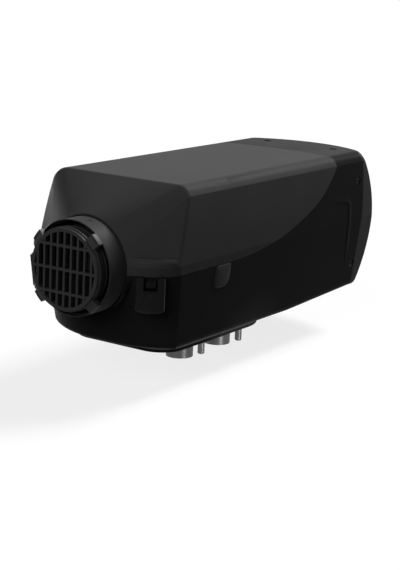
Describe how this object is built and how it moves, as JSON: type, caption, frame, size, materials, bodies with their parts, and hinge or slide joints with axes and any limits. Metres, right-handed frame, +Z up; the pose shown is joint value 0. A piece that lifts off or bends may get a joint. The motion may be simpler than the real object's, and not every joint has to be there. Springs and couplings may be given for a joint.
{
  "type": "diesel air heater",
  "caption": "Black moulded diesel air heater with round intake grille, clipped cover, domed outlet hood, and exhaust and air pipes under its mounting foot.",
  "frame": {"origin": "centre of the mounting foot's lower face, midway between the four studs", "axes": "+X along the air flow from intake grille to outlet, -Y towards the blanking plug's side, +Z up from the mounting face"},
  "size_m": [0.401, 0.14, 0.1668],
  "materials": {
    "case_plastic": "satin, fine moulded grain",
    "clip_plastic": "satin, fine moulded grain",
    "shell_plastic": "satin, fine moulded grain",
    "hood_plastic": "satin, fine moulded grain",
    "collar_plastic": "satin",
    "grille_plastic": "satin",
    "black_steel": "black oxide",
    "plug_rubber": "matt",
    "gasket_rubber": "matt",
    "cast_aluminium": "as cast",
    "zinc_steel": "zinc plated",
    "pipe_steel": "satin stainless",
    "bearing_steel": "ground",
    "magnet": "sintered",
    "lamination_steel": "varnished laminations",
    "fan_plastic": "satin",
    "impeller_plastic": "satin",
    "module_plastic": "satin",
    "connector_plastic": "natural nylon"
  },
  "bodies": {
    "chassis": {"lower_shell": "shell_plastic", "outlet_hood": "hood_plastic", "outlet_collar": "collar_plastic", "intake_collar": "collar_plastic", "hood_screws": "black_steel", "blanking_plug": "plug_rubber", "cable_grommet": "plug_rubber", "mounting_foot": "cast_aluminium", "foot_gasket": "gasket_rubber", "mounting_studs": "zinc_steel", "exhaust_pipe": "pipe_steel", "combustion_air_pipe": "pipe_steel", "fuel_pipe": "pipe_steel", "front_bearing": "bearing_steel", "rear_bearing": "bearing_steel", "motor_stator": "lamination_steel", "blower_housing": "cast_aluminium", "side_channel_cover": "cast_aluminium", "blower_gasket": "gasket_rubber", "combustion_air_housing": "cast_aluminium", "burner_gasket": "gasket_rubber", "burner_flange": "pipe_steel", "combustion_tube": "pipe_steel", "spray_gauze": "zinc_steel", "glow_plug": "zinc_steel", "glow_plug_seal": "gasket_rubber", "heat_exchanger": "cast_aluminium", "temperature_sensor": "connector_plastic", "sensor_clip": "zinc_steel", "control_unit_case": "module_plastic", "control_unit_lid": "module_plastic", "control_unit_connector": "connector_plastic"},
    "rotor": {"motor_shaft": "zinc_steel", "rotor_magnet": "magnet", "hot_air_fan": "fan_plastic", "combustion_impeller": "impeller_plastic"},
    "cover": {"upper_cover": "case_plastic"},
    "clip_near": {"cover_clip_near": "clip_plastic"},
    "clip_far": {"cover_clip_far": "clip_plastic"},
    "grille": {"intake_grille": "grille_plastic"}
  },
  "joints": [
    {"name": "rotor_spin", "type": "hinge", "parent": "chassis", "child": "rotor", "pos_m": [-0.1, 0, 0.073], "axis": [1, 0, 0], "continuous": true},
    {"name": "cover_hinge", "type": "hinge", "parent": "chassis", "child": "cover", "pos_m": [0.126, 0, 0.1389], "axis": [0, 1, 0], "range_deg": [0, 60]},
    {"name": "clip_near_flex", "type": "hinge", "parent": "cover", "child": "clip_near", "pos_m": [-0.1522, -0.05895, 0.0696], "axis": [-0.5708, 0.8211, 0], "range_deg": [0, 8], "stiffness_Nm_per_rad": 0.2},
    {"name": "clip_far_flex", "type": "hinge", "parent": "cover", "child": "clip_far", "pos_m": [-0.1522, 0.05895, 0.0696], "axis": [0.5708, 0.8211, 0], "range_deg": [0, 8], "stiffness_Nm_per_rad": 0.2},
    {"name": "grille_pull", "type": "slide", "parent": "chassis", "child": "grille", "axis": [-1, 0, 0], "range_m": [0, 0.025]}
  ]
}
